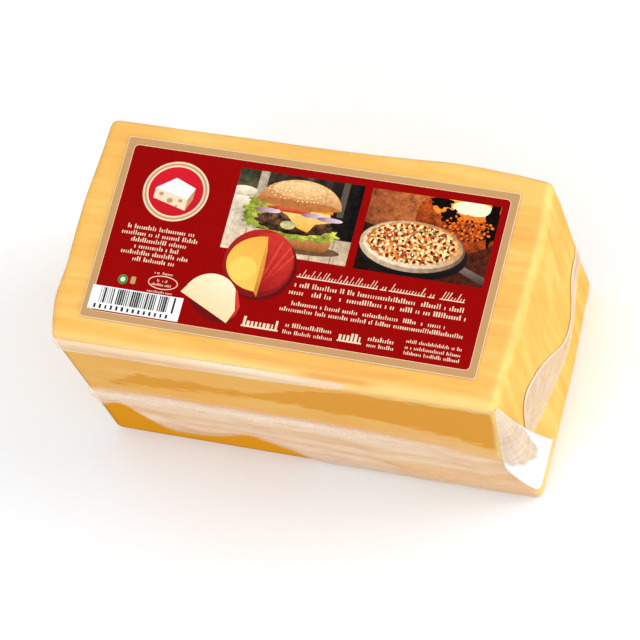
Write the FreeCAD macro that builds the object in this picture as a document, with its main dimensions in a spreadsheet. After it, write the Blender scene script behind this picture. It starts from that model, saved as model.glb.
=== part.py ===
import FreeCAD, Part
import os
import Sketcher

# A block of edam-style cheese, vacuum-packed in clear film, with a paper label on its top.
# Millimetres. The origin is the middle of the block's underside, +X runs along the block
# towards its sealed end, +Y to the back and +Z up. The front is the -Y side.
#
# The pack is one solid: the block with the film drawn tight on it, and the three places
# where the film stands off it: the skirt below the crease of the front, the fold at the
# front corner of the sealed end, and the seal fin that lies back against that end.

SIZES = (
    ("block_length", 147.0, "the block along X, from corner to corner"),
    ("block_width", 77.5, "the block along Y, from corner to corner"),
    ("block_height", 82.0, "the block along Z"),
    ("end_bulge", 3.0, "how far the middle of the plain end swells past its corners"),
    ("back_bulge", 1.8, "how far the middle of the back swells past its corners"),
    ("corner_radius", 3.2, "rounding of the four upright edges"),
    ("top_edge_radius", 2.4, "rounding round the top"),
    ("base_edge_radius", 2.0, "rounding round the underside"),
    ("film_root", 1.0, "how deep each stand-off of the film starts inside the block"),
    ("skirt_crease", 39.5, "height of the crease that the skirt hangs from"),
    ("skirt_hem", 2.5, "height of the skirt's lower edge"),
    ("skirt_depth", 1.8, "how far the skirt's belly stands out from the front"),
    ("skirt_end_gap", 6.0, "from each end of the block to the skirt"),
    ("fold_top_gap", 5.0, "from the top of the block down to the fold's tip"),
    ("fold_hem", 1.5, "height of the fold's lower edge"),
    ("fold_front_reach", 10.5, "width of the fold's foot along the front"),
    ("fold_end_reach", 19.5, "width of the fold's foot along the sealed end"),
    ("fold_depth", 1.6, "how far the fold's ridge stands out at its foot"),
    ("fin_thickness", 1.4, "the fin and the air behind it, out from the sealed end"),
    ("fin_front_gap", 10.5, "from the front face to the fin's front end"),
    ("fin_back_gap", 3.5, "from the back face to the fin's back end"),
    ("fin_front_low", 33.0, "seam of the fin at its front end"),
    ("fin_front_high", 44.5, "free edge of the fin at its front end"),
    ("fin_crest_inset", 7.5, "from the fin's front end to the crest of its free edge"),
    ("fin_crest_height", 52.5, "height of that crest"),
    ("fin_trough_inset", 20.5, "from the fin's back end to the trough of its free edge"),
    ("fin_trough_height", 19.5, "height of that trough"),
    ("fin_seam_height", 14.0, "lowest point of the seam, below the trough"),
    ("fin_back_low", 25.0, "seam of the fin at its back end"),
    ("fin_back_high", 33.5, "free edge of the fin at its back end"),
    ("label_thickness", 0.2, "the paper label"),
    ("label_corner_radius", 1.0, "rounding of the label's corners"),
    ("label_gap_left", 4.8, "from the label to the rounded edge at the plain end"),
    ("label_gap_right", 6.6, "from the label to the rounded edge at the sealed end"),
    ("label_gap_front", 6.3, "from the label to the rounded edge at the front"),
    ("label_gap_back", 3.3, "from the label to the rounded edge at the back"),
)

LEVEL = 1e-6          # how far apart two heights may be and still count as one
UPRIGHT = 0.999       # least vertical part of an upright edge's direction


# ---------------------------------------------------------------- the document and its sheet

doc = FreeCAD.newDocument("cheese_pack")
sheet = doc.addObject("Spreadsheet::Sheet", "Sizes")
for row, (alias, value, meaning) in enumerate(SIZES, start=1):
    sheet.set("A%d" % row, meaning)
    sheet.set("B%d" % row, str(value))
    sheet.setAlias("B%d" % row, alias)
doc.recompute()


# ---------------------------------------------------------------- helpers for sketches

def size(alias):
    """The value of one cell of the sheet."""
    return float(getattr(sheet, alias))


def new_body(label):
    body = doc.addObject("PartDesign::Body", label)
    body.Label = label
    return body


def new_sketch(body, name, plane_role, offset):
    """A sketch on one of the body's own planes, moved along the plane's normal."""
    sketch = body.newObject("Sketcher::SketchObject", name)
    plane = [item for item in body.Origin.OriginFeatures if item.Role == plane_role][0]
    sketch.AttachmentSupport = [(plane, "")]
    sketch.MapMode = "FlatFace"
    sketch.setExpression("AttachmentOffset.Base.z", offset)
    return sketch


def hold_point(sketch, geometry, end, across, up):
    """Fix one end of an edge, or a point, at two expressions from the sketch's origin."""
    point = sketch.getPoint(geometry, end)
    for kind, now, expression in (("DistanceX", point.x, across), ("DistanceY", point.y, up)):
        index = sketch.addConstraint(Sketcher.Constraint(kind, -1, 1, geometry, end, now))
        sketch.setExpression("Constraints[%d]" % index, expression)


def closed_outline(sketch, start, pieces):
    """Draw a closed outline. Each point is (x, y, x expression, y expression).

    A piece is (end,) for a straight edge, or (through, end) for an arc.
    """
    corner = start
    indices = []
    for piece in pieces:
        first = FreeCAD.Vector(corner[0], corner[1], 0)
        last = FreeCAD.Vector(piece[-1][0], piece[-1][1], 0)
        if len(piece) == 1:
            edge = sketch.addGeometry(Part.LineSegment(first, last), False)
            begin, finish = 1, 2
        else:
            through = piece[0]
            middle = FreeCAD.Vector(through[0], through[1], 0)
            edge = sketch.addGeometry(Part.Arc(first, middle, last), False)
            flipped = sketch.getPoint(edge, 1).distanceToPoint(last) < LEVEL
            begin, finish = (2, 1) if flipped else (1, 2)
            marker = sketch.addGeometry(Part.Point(middle), True)
            hold_point(sketch, marker, 1, through[2], through[3])
            sketch.addConstraint(Sketcher.Constraint("PointOnObject", marker, 1, edge))
        hold_point(sketch, edge, finish, piece[-1][2], piece[-1][3])
        indices.append((edge, begin, finish))
        corner = piece[-1]
    for (edge, begin, _), (before, _, finish) in zip(indices, indices[-1:] + indices[:-1]):
        sketch.addConstraint(Sketcher.Constraint("Coincident", before, finish, edge, begin))


def rectangle(sketch, low_x, high_x, low_y, high_y):
    """A rectangle between four sides, each given as (value, expression)."""
    corners = [(x[0], y[0], x[1], y[1])
               for x, y in ((low_x, low_y), (high_x, low_y), (high_x, high_y), (low_x, high_y))]
    closed_outline(sketch, corners[0], [(corner,) for corner in corners[1:] + corners[:1]])


def pad(body, name, sketch, length):
    feature = body.newObject("PartDesign::Pad", name)
    feature.Profile = sketch
    feature.setExpression("Length", length)
    doc.recompute()
    return feature


def round_edges(body, name, base, wanted, radius):
    """Fillet the edges of a feature that pass a test."""
    names = ["Edge%d" % (i + 1) for i, edge in enumerate(base.Shape.Edges) if wanted(edge)]
    feature = body.newObject("PartDesign::Fillet", name)
    feature.Base = (base, names)
    feature.setExpression("Radius", radius)
    doc.recompute()
    return feature


def is_upright(edge):
    return abs(edge.tangentAt(edge.FirstParameter).z) > UPRIGHT


def lies_at(height):
    def wanted(edge):
        box = edge.BoundBox
        return abs(box.ZMin - height) < LEVEL and abs(box.ZMax - height) < LEVEL
    return wanted


# ---------------------------------------------------------------- places that the pieces share

half_length = size("block_length") / 2
half_width = size("block_width") / 2
END_FACE = "Sizes.block_length / 2"
FRONT_FACE = "-Sizes.block_width / 2"
BACK_FACE = "Sizes.block_width / 2"


def from_end(inset, text):
    """A place inside the sealed end: its value and its expression."""
    return half_length - inset, "%s - (%s)" % (END_FACE, text)


def from_front(inset, text):
    """A place inside the front face: its value and its expression."""
    return inset - half_width, "%s + (%s)" % (FRONT_FACE, text)


def from_back(inset, text):
    """A place inside the back face: its value and its expression."""
    return half_width - inset, "%s - (%s)" % (BACK_FACE, text)


def named(alias):
    """A cell of the sheet: its value and its expression."""
    return size(alias), "Sizes.%s" % alias


def at(across, up):
    """One corner of an outline from two (value, expression) pairs."""
    return across[0], up[0], across[1], up[1]


# ---------------------------------------------------------------- the pack

def make_block(body):
    """The cheese with the film drawn tight on it: a block with every edge rounded.

    Seen from above, the front and the sealed end are straight, and the other two sides swell.
    """
    sketch = new_sketch(body, "BlockOutline", "XY_Plane", "0")
    left, right = (-half_length, "-" + END_FACE), (half_length, END_FACE)
    front, back = (-half_width, FRONT_FACE), (half_width, BACK_FACE)
    middle = (0.0, "0")
    swollen_end = (-half_length - size("end_bulge"), "-%s - Sizes.end_bulge" % END_FACE)
    swollen_back = (half_width + size("back_bulge"), BACK_FACE + " + Sizes.back_bulge")
    closed_outline(sketch, at(left, front),
                   [(at(right, front),),
                    (at(right, back),),
                    (at(middle, swollen_back), at(left, back)),
                    (at(swollen_end, middle), at(left, front))])
    block = pad(body, "BlockPad", sketch, "Sizes.block_height")
    block = round_edges(body, "UprightEdges", block, is_upright, "Sizes.corner_radius")
    block = round_edges(body, "TopEdges", block, lies_at(size("block_height")),
                        "Sizes.top_edge_radius")
    return round_edges(body, "BaseEdges", block, lies_at(0), "Sizes.base_edge_radius")


def add_skirt(body):
    """The loose film of the front, a shallow belly from the crease down to its hem."""
    gap = size("skirt_end_gap")
    sketch = new_sketch(body, "SkirtProfile", "YZ_Plane", "-(%s - Sizes.skirt_end_gap)" % END_FACE)
    root = from_front(size("film_root"), "Sizes.film_root")
    face = (-half_width, FRONT_FACE)
    belly = from_front(-size("skirt_depth"), "-Sizes.skirt_depth")
    crease = named("skirt_crease")
    hem = named("skirt_hem")
    middle = ((crease[0] + hem[0]) / 2, "(Sizes.skirt_crease + Sizes.skirt_hem) / 2")
    closed_outline(sketch, at(root, crease),
                   [(at(face, crease),),
                    (at(belly, middle), at(face, hem)),
                    (at(root, hem),),
                    (at(root, crease),)])
    pad(body, "SkirtPad", sketch, "Sizes.block_length - 2 * Sizes.skirt_end_gap")


def fold_section(body, name, height, front_reach, end_reach, ridge):
    """One level section of the corner fold. Each measure is (value, text)."""
    sketch = new_sketch(body, name, "XY_Plane", height)
    root = (size("film_root"), "Sizes.film_root")
    heart = (size("corner_radius") + size("film_root"), "Sizes.corner_radius + Sizes.film_root")
    corners = (at(from_end(*front_reach), from_front(*root)),
               at(from_end(*ridge), from_front(*ridge)),
               at(from_end(*root), from_front(*end_reach)),
               at(from_end(*heart), from_front(*heart)))
    closed_outline(sketch, corners[0], [(corner,) for corner in corners[1:] + corners[:1]])
    return sketch


def add_fold(body):
    """The spare film at the front corner of the sealed end, wider and prouder downwards."""
    # The tip starts inside the rounded corner, so the fold grows out of it without a step.
    tip_reach = (size("corner_radius"), "Sizes.corner_radius")
    tip_ridge = (size("corner_radius") / 2, "Sizes.corner_radius / 2")
    foot = fold_section(body, "FoldFoot", "Sizes.fold_hem",
                        (size("fold_front_reach"), "Sizes.fold_front_reach"),
                        (size("fold_end_reach"), "Sizes.fold_end_reach"),
                        (-size("fold_depth"), "-Sizes.fold_depth"))
    tip = fold_section(body, "FoldTip", "Sizes.block_height - Sizes.fold_top_gap",
                       tip_reach, tip_reach, tip_ridge)
    loft = body.newObject("PartDesign::AdditiveLoft", "FoldLoft")
    loft.Profile = foot
    loft.Sections = [tip]
    loft.Ruled = True
    doc.recompute()


def add_fin(body):
    """The sealed edge of the bag, laid back against the end: a band with a waved free edge."""
    sketch = new_sketch(body, "FinOutline", "YZ_Plane", "%s - Sizes.film_root" % END_FACE)
    front = from_front(size("fin_front_gap"), "Sizes.fin_front_gap")
    back = from_back(size("fin_back_gap"), "Sizes.fin_back_gap")
    crest = from_front(size("fin_front_gap") + size("fin_crest_inset"),
                       "Sizes.fin_front_gap + Sizes.fin_crest_inset")
    trough = from_back(size("fin_back_gap") + size("fin_trough_inset"),
                       "Sizes.fin_back_gap + Sizes.fin_trough_inset")
    turn = ((crest[0] + trough[0]) / 2, "(%s + %s) / 2" % (crest[1], trough[1]))
    turn_height = ((size("fin_crest_height") + size("fin_trough_height")) / 2,
                   "(Sizes.fin_crest_height + Sizes.fin_trough_height) / 2")
    closed_outline(sketch, at(front, named("fin_front_high")),
                   [(at(crest, named("fin_crest_height")), at(turn, turn_height)),
                    (at(trough, named("fin_trough_height")), at(back, named("fin_back_high"))),
                    (at(back, named("fin_back_low")),),
                    (at(trough, named("fin_seam_height")), at(front, named("fin_front_low"))),
                    (at(front, named("fin_front_high")),)])
    pad(body, "FinPad", sketch, "Sizes.fin_thickness + Sizes.film_root")


def make_pack():
    body = new_body("cheese_pack")
    make_block(body)
    add_skirt(body)
    add_fold(body)
    add_fin(body)
    return body


# ---------------------------------------------------------------- the label

def make_label():
    """A flat sheet face to face with the top, inside the rounded edges by its four gaps."""
    body = new_body("label")
    edge = size("top_edge_radius")
    sketch = new_sketch(body, "LabelOutline", "XY_Plane", "Sizes.block_height")
    left = (-half_length + edge + size("label_gap_left"),
            "-%s + Sizes.top_edge_radius + Sizes.label_gap_left" % END_FACE)
    right = from_end(edge + size("label_gap_right"),
                     "Sizes.top_edge_radius + Sizes.label_gap_right")
    front = from_front(edge + size("label_gap_front"),
                       "Sizes.top_edge_radius + Sizes.label_gap_front")
    back = from_back(edge + size("label_gap_back"),
                     "Sizes.top_edge_radius + Sizes.label_gap_back")
    rectangle(sketch, left, right, front, back)
    paper = pad(body, "LabelPad", sketch, "Sizes.label_thickness")
    round_edges(body, "LabelCorners", paper, is_upright, "Sizes.label_corner_radius")
    return body


# ---------------------------------------------------------------- build, check and write

pieces = [make_pack(), make_label()]
doc.recompute()

for item in doc.Objects:
    faults = [word for word in item.State if word in ("Invalid", "Error")]
    if faults:
        raise RuntimeError("%s is %s" % (item.Label, ", ".join(faults)))

for piece in pieces:
    shape = piece.Shape
    if shape.isNull() or not shape.isValid() or len(shape.Solids) != 1:
        raise RuntimeError("%s is not one valid solid" % piece.Label)

os.makedirs("parts", exist_ok=True)
for piece in pieces:
    piece.Shape.exportStep(os.path.join("parts", piece.Label + ".step"))
    box = piece.Shape.optimalBoundingBox()
    print("%-12s %7.2f x %6.2f x %6.2f mm, %10.1f mm3"
          % (piece.Label, box.XLength, box.YLength, box.ZLength, piece.Shape.Volume))
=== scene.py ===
"""A block of edam-style cheese in its vacuum film, with its seal fin, corner fold and printed label.

Laid out as an add-on: a panel of settings and operators for the stage, the cheese, the film with its fin
and fold, and the label. Metres.
"""
import math

import bmesh
import bpy
import numpy as np
from mathutils import Matrix, Vector, geometry


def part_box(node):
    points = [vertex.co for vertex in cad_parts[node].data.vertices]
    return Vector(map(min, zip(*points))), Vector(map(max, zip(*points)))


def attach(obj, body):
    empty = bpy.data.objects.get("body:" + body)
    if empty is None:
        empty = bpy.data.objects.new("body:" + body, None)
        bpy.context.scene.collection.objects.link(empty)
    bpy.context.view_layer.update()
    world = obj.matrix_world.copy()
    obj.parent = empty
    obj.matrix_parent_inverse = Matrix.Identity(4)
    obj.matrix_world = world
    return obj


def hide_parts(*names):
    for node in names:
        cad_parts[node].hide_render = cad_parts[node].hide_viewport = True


bl_info = {
    "name": "Wrapped Cheese Block",
    "version": (1, 0, 0),
    "blender": (4, 5, 0),
    "location": "3D View > Sidebar > Cheese",
    "description": "Makes a vacuum-packed block of cheese with its film, fin, fold and label",
    "category": "Object",
}

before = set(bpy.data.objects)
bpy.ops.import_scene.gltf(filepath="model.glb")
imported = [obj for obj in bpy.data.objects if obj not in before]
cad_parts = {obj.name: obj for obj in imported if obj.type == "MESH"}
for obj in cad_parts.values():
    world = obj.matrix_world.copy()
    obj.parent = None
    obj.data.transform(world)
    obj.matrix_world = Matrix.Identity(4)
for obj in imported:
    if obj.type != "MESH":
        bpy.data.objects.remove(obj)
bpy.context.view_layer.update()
PACK_LOW, PACK_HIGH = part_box("cheese_pack")
LABEL_LOW, LABEL_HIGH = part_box("label")
BODY = "root"
MM = 0.001

# The block between its corners, in mm: the pack's box without the swelling of its plain end
# and its back. FRONT_ROOM is what the box leaves for film that stands off the front. LOOK_PAST
# is how far from the block's middle the camera looks, in metres.
END_BULGE = 3.0
BACK_BULGE = 1.8
HALF_LENGTH = -PACK_LOW.x / MM - END_BULGE
HALF_WIDTH = PACK_HIGH.y / MM - BACK_BULGE
HEIGHT = PACK_HIGH.z / MM
FRONT_ROOM = -PACK_LOW.y / MM - HALF_WIDTH
MIDDLE = (0.0, 0.0, HEIGHT * MM / 2)
LOOK_PAST = (-0.0016, -0.0040, 0.0)

# Where the block's rounding grows toward the sealed end, each from one distance to another in mm:
# near the end and the front, near the top for the end's top edge, and for the folded corner
# further below the top, as far down as a height from the block's middle.
NEAR_SIDE = (4.0, 14.0)
NEAR_TOP = (5.0, 16.0)
BELOW_TOP = (12.0, 45.0)
FROM_MIDDLE = (-38.0, -15.0)

# A distance inside a patch of film, in mm, for points that are nowhere near it.
AWAY = -50.0
WHITE = (1.0, 1.0, 1.0, 1.0)


# ---------------------------------------------------------------- curves and ramps, in mm

def ramp(value, low, high):
    """Smooth step from 0 at low to 1 at high."""
    along = np.clip((value - low) / (high - low), 0.0, 1.0)
    return along * along * (3.0 - 2.0 * along)


def bell(value, middle, spread):
    return np.exp(-((value - middle) / spread) ** 2)


def curve(places, knots):
    """A smooth line through knots (place, value), read at places."""
    at, value = np.array(knots, float).T
    slope = np.gradient(value, at)
    spot = np.clip(places, at[0], at[-1])
    left = np.clip(np.searchsorted(at, spot, side="right") - 1, 0, len(at) - 2)
    wide = at[left + 1] - at[left]
    along = (spot - at[left]) / wide
    start = (1 + 2 * along) * (1 - along) ** 2
    leave = along * (1 - along) ** 2 * wide
    end = along ** 2 * (3 - 2 * along)
    arrive = along ** 2 * (along - 1) * wide
    return (start * value[left] + leave * slope[left]
            + end * value[left + 1] + arrive * slope[left + 1])


def ripple(places, *waves):
    """A sum of waves (height, length, shift), all in mm."""
    return sum(tall * np.sin((places + shift) * 2.0 * math.pi / long)
               for tall, long, shift in waves)


def display(*channels):
    """Linear colour of display values from 0 to 255."""
    levels = [channel / 255.0 for channel in channels]
    linear = [level / 12.92 if level <= 0.04045 else ((level + 0.055) / 1.055) ** 2.4 for level in levels]
    return (*linear, 1.0)


# ---------------------------------------------------------------- settings

def number_input(name, description, default, **options):
    return bpy.props.FloatProperty(name=name, description=description, default=default, **options)


def length_input(name, description, default):
    return number_input(name, description, default, subtype="DISTANCE", unit="LENGTH", precision=5)


def share_input(name, description, default):
    return number_input(name, description, default, subtype="FACTOR", min=0.0, max=1.0)


def angle_input(name, description, degrees):
    return number_input(name, description, math.radians(degrees), subtype="ANGLE")


def watts_input(name, description, default):
    return number_input(name, description, default, unit="POWER", min=0.0)


def colour_input(name, description, red, green, blue):
    return bpy.props.FloatVectorProperty(name=name, description=description, subtype="COLOR", size=4,
                                         default=(red, green, blue, 1.0), min=0.0, max=1.0)


def section_input(kind, name, description):
    return bpy.props.PointerProperty(type=kind, name=name, description=description)


class CheeseSettings(bpy.types.PropertyGroup):
    edge_radius: length_input("Edge radius", "Rounding of the block's edges", 0.0026)
    end_radius: length_input("End radius", "Rounding of the top edge at the sealed end", 0.0034)
    corner_radius: length_input("Corner radius", "Rounding of the corner under the folded film", 0.0068)
    spacing: length_input("Spacing", "Distance between the mesh's lines", 0.0009)
    relief: length_input("Relief", "Depth of the block's uneven surface", 0.0003)
    film_gap: length_input("Film gap", "From the cheese to film that lies tight on it", 0.00016)
    paste: colour_input("Paste", "Colour of the cheese", 0.93, 0.50, 0.067)
    # The lighter streaks are a painted sheen of the film.
    pale: colour_input("Pale", "Colour of its lighter streaks", 0.94, 0.60, 0.13)
    # The colour of the painted highlights along the block's edges.
    thin: colour_input("Painted Edge Light", "Colour of its edges, where light comes through", 0.96, 0.75, 0.28)
    # The deeper colour also serves as painted shade on the front and under its skirt.
    deep: colour_input("Deep", "Colour of its darker patches", 0.81, 0.355, 0.042)
    amber: colour_input("Amber", "Colour where wet film lies on the foot", 0.84, 0.335, 0.004)


class FilmSettings(bpy.types.PropertyGroup):
    haze: share_input("Haze", "How much loose film hides the cheese", 0.52)
    tight_haze: share_input("Tight haze", "How much tight film hides the cheese", 0.085)
    skirt_lift: length_input("Skirt lift", "How far the front's loose film stands off", 0.0010)
    band_lift: length_input("Band lift", "How far the film stands off below the top edge", 0.0006)
    thickness: length_input("Thickness", "Thickness of the fin's and the fold's film", 0.00014)
    bead: length_input("Bead", "Radius of the welded edge of the film", 0.00018)
    # The milky tint of loose film is partly its haze and partly a painted reflection of the pale
    # surroundings.
    milky: colour_input("Milky", "Colour of loose film", 0.98, 0.84, 0.67)
    # The white of the painted glare on the film, which stands in for its highlights.
    bright: colour_input("Bright", "Colour of stretched film", 1.0, 0.99, 0.97)


class LabelSettings(bpy.types.PropertyGroup):
    border: length_input("Border", "Width of the gold border", 0.0027)
    red: colour_input("Red", "Colour of the label's field", 0.325, 0.0012, 0.001)
    gold: colour_input("Gold", "Colour of the border", 0.615, 0.348, 0.138)
    cream: colour_input("Cream", "Colour of the small marks", 0.93, 0.72, 0.52)


class StageSettings(bpy.types.PropertyGroup):
    azimuth: angle_input("Azimuth", "Camera's turn round the block", 41.16)
    elevation: angle_input("Elevation", "Camera's height angle", 64.5)
    roll: angle_input("Roll", "Camera's turn about its own line of sight", 29.2)
    distance: length_input("Distance", "From the camera to the block's middle", 1.3405)
    focal: number_input("Focal length", "Camera's focal length in mm", 233.65, min=1.0, unit="CAMERA")
    floor: colour_input("Floor", "Colour of the floor", 0.93, 0.955, 0.985)
    key: watts_input("Key light", "Power of the main lamp in watts", 19.0)
    front: watts_input("Front light", "Power of the front lamp in watts", 38.0)
    side: watts_input("Side light", "Power of the side lamp in watts", 37.0)
    sky: number_input("Sky", "Strength of the light all round", 0.92, min=0.0)


class CheeseScene(bpy.types.PropertyGroup):
    cheese: section_input(CheeseSettings, "Cheese", "The block")
    film: section_input(FilmSettings, "Film", "The bag")
    label: section_input(LabelSettings, "Label", "The label")
    stage: section_input(StageSettings, "Stage", "Light and camera")


def settings():
    return bpy.context.scene.cheese_pack


# ---------------------------------------------------------------- node helpers

def feed(node, inputs):
    """Give a node's inputs their values, or link what flows into them."""
    for name, value in inputs.items():
        if isinstance(value, Flow):
            node.id_data.links.new(value.socket, node.inputs[name])
        else:
            node.inputs[name].default_value = value


def add(tree, kind, inputs=None, **options):
    """A new node with its options set and its inputs fed."""
    made = tree.nodes.new(kind)
    for name, value in options.items():
        setattr(made, name, value)
    feed(made, inputs or {})
    return made


def flow(tree, kind, inputs=None, output=0, **options):
    """What comes out of a new node."""
    return Flow(add(tree, kind, inputs, **options).outputs[output])


class Flow:
    """What comes out of a node's socket. Each sum on it adds the node that works it out."""

    def __init__(self, socket):
        self.socket = socket
        self.tree = socket.id_data

    def maths(self, operation, first, second=0.0):
        return flow(self.tree, "ShaderNodeMath", {0: first, 1: second}, operation=operation)

    def vector_maths(self, operation, inputs):
        return flow(self.tree, "ShaderNodeVectorMath", {0: self, **inputs}, operation=operation)

    def either(self, operation, other):
        """A sum of two vectors, if this is one or a colour, and else of two numbers."""
        if self.socket.type in ("VECTOR", "RGBA"):
            return self.vector_maths(operation, {1: other})
        return self.maths(operation, self, other)

    def __add__(self, other):
        return self.either("ADD", other)

    def __sub__(self, other):
        return self.either("SUBTRACT", other)

    def __mul__(self, other):
        return self.either("MULTIPLY", other)

    def __truediv__(self, other):
        return self.either("DIVIDE", other)

    def __rsub__(self, other):
        return self.maths("SUBTRACT", other, self)

    def least(self, other):
        return self.either("MINIMUM", other)

    def most(self, other):
        return self.either("MAXIMUM", other)

    def over(self, limit):
        return self.maths("GREATER_THAN", self, limit)

    def under(self, limit):
        return self.maths("LESS_THAN", self, limit)

    def scaled(self, factor):
        return self.vector_maths("SCALE", {"Scale": factor})

    def unit(self):
        return self.vector_maths("NORMALIZE", {})

    def clamped(self):
        """The same number, held between 0 and 1 by the node that it comes from."""
        self.socket.node.use_clamp = True
        return self

    def stepped(self, low, high, out_low=0.0, out_high=1.0):
        """Smooth step between two limits."""
        return flow(self.tree, "ShaderNodeMapRange",
                    {"Value": self, "From Min": low, "From Max": high,
                     "To Min": out_low, "To Max": out_high},
                    interpolation_type="SMOOTHSTEP")

    def within(self, limits, out_low=0.0, out_high=1.0):
        """Smooth step of a length between two limits in mm."""
        return self.stepped(limits[0] * MM, limits[1] * MM, out_low, out_high)

    def blended(self, first, second):
        """A colour between two others, where this is the share of the second."""
        return flow(self.tree, "ShaderNodeMix", {0: self, 6: first, 7: second}, 2, data_type="RGBA")

    def noise(self, scale, detail=2.0, roughness=0.5, stretch=None):
        """Noise from 0 to 1 at this place. Scale is in waves a metre, times stretch along each axis."""
        return flow(self.tree, "ShaderNodeTexNoise",
                    {"Vector": self * stretch if stretch else self, "Scale": scale, "Detail": detail,
                     "Roughness": roughness})

    def split(self):
        """The x, y and z of this vector."""
        return [Flow(socket) for socket in add(self.tree, "ShaderNodeSeparateXYZ", {0: self}).outputs]


def xyz(tree, x=0.0, y=0.0, z=0.0):
    """A vector of three numbers."""
    return flow(tree, "ShaderNodeCombineXYZ", {0: x, 1: y, 2: z})


def new_group(kind, name, inputs, outputs):
    """A node group and what flows from its inputs. A socket is given by its default or its kind."""
    kinds = {float: "Float", int: "Int", tuple: "Color"}
    tree = bpy.data.node_groups.new(name, kind)
    for direction, sockets in (("INPUT", inputs), ("OUTPUT", outputs)):
        for label, value in sockets.items():
            named = value if isinstance(value, str) else kinds[type(value)]
            made = tree.interface.new_socket(label, in_out=direction, socket_type="NodeSocket" + named)
            if named != value:
                made.default_value = value
    given = add(tree, "NodeGroupInput").outputs
    return tree, {socket.name: Flow(socket) for socket in given if socket.name}


def made_once(kept, name):
    """Hand out the thing of that name. The function under this line makes it the first time."""
    def hold(make):
        return lambda: getattr(bpy.data, kept).get(name) or make(name)
    return hold


def grouped(tree, group, inputs):
    """A shader group placed in a tree with its own values: what flows from it, by name."""
    made = add(tree, "ShaderNodeGroup", inputs, node_tree=group)
    return {socket.name: Flow(socket) for socket in made.outputs}


# ---------------------------------------------------------------- shader groups

@made_once("node_groups", "Uneven skin")
def skin_group(name):
    """Uneven skin that several finishes share: broad patches, fine grain and a height for bump."""
    tree, given = new_group(
        "ShaderNodeTree", name,
        {"Vector": "Vector", "Patch Scale": 60.0, "Grain Scale": 900.0, "Grain Share": 0.3},
        {"Patches": "Float", "Grain": "Float", "Height": "Float"})
    patches = given["Vector"].noise(given["Patch Scale"], 3.0, 0.55)
    grain = given["Vector"].noise(given["Grain Scale"])
    add(tree, "NodeGroupOutput", {"Patches": patches, "Grain": grain,
                                  "Height": grain * given["Grain Share"] + patches})
    return tree


@made_once("node_groups", "Wet patches")
def wet_group(name):
    """Where film clings wet to the cheese: inside a jagged line. Wet is a distance inside it in mm."""
    tree, given = new_group("ShaderNodeTree", name, {"Vector": "Vector", "Wet": 0.0, "Jag": 6.0},
                            {"Mask": "Float"})
    jagged = given["Vector"].noise(360.0, 4.0, 0.62, (0.4, 1.0, 1.4))
    inside = given["Wet"] + (jagged - 0.5) * given["Jag"]
    add(tree, "NodeGroupOutput", {"Mask": inside.stepped(-0.3, 0.4)})
    return tree


@made_once("node_groups", "Clear film")
def film_group(name):
    """Clear film: how much it hides, its colour and its fine creases.

    Loose is a distance in mm inside its region, Wet and Bright are shares.
    """
    tree, given = new_group(
        "ShaderNodeTree", name,
        {"Vector": "Vector", "Loose": 0.0, "Wet": 0.0, "Bright": 0.0, "Flecks": 0.6, "Haze": 0.5,
         "Tight Haze": 0.07, "Milky": WHITE, "White": WHITE},
        {"Color": "Color", "Alpha": "Float", "Roughness": "Float", "Height": "Float"})
    streaks = given["Vector"].noise(95.0, 3.0, 0.6, (0.28, 1.0, 1.6))
    folds = given["Vector"].noise(260.0, 2.0, 0.55, (0.45, 1.0, 1.0))
    sparkle = given["Vector"].noise(1500.0, 1.0, 0.5, (0.7, 1.0, 1.0))
    loose = given["Loose"].stepped(-0.1, 0.6)
    hazy = loose * (given["Haze"] + (streaks * 0.6 - 0.3))
    tight = (1.0 - loose) * ((1.0 - given["Wet"]) * given["Tight Haze"])
    # Painted glare, broken into sparkling flecks, stands in for highlights on the film.
    flecks = sparkle.stepped(0.38, 0.62) * given["Flecks"] + (1.0 - given["Flecks"])
    bright = given["Bright"] * flecks
    clear = (1.0 - (hazy + tight)).clamped() * (1.0 - bright).clamped()
    add(tree, "NodeGroupOutput", {
        # The milky tint is partly haze and partly a painted reflection; white glare is painted over it.
        "Color": bright.blended(given["Milky"], given["White"]), "Alpha": (1.0 - clear).clamped(),
        "Roughness": streaks * 0.25 + 0.16, "Height": folds * 0.5 + streaks})
    return tree


# ---------------------------------------------------------------- materials

def new_material(name):
    """A material, its node tree and its Object coordinates."""
    material = bpy.data.materials.new(name)
    material.use_nodes = True
    return material, material.node_tree, flow(material.node_tree, "ShaderNodeTexCoord", output="Object")


def finish(material, inputs, height, distance, strength):
    """Feed a material's shader, and give it bump from a height."""
    tree = material.node_tree
    normal = flow(tree, "ShaderNodeBump", {"Height": height, "Distance": distance, "Strength": strength})
    feed(tree.nodes["Principled BSDF"], {**inputs, "Normal": normal})
    return material


def attribute(tree, name, output="Fac"):
    """What a piece's own attribute says at each point."""
    return flow(tree, "ShaderNodeAttribute", output=output, attribute_name=name)


def uneven(place, patch_scale, grain_scale, grain_share):
    """The shared uneven skin at its own scale: its patches, its grain and its height."""
    return grouped(place.tree, skin_group(), {"Vector": place, "Patch Scale": patch_scale,
                                              "Grain Scale": grain_scale, "Grain Share": grain_share})


def wet_at(place):
    """Share of wet film, from the piece's own distance inside its wet patch."""
    return grouped(place.tree, wet_group(), {"Vector": place, "Wet": attribute(place.tree, "wet"),
                                             "Jag": 15.0})["Mask"]


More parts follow.
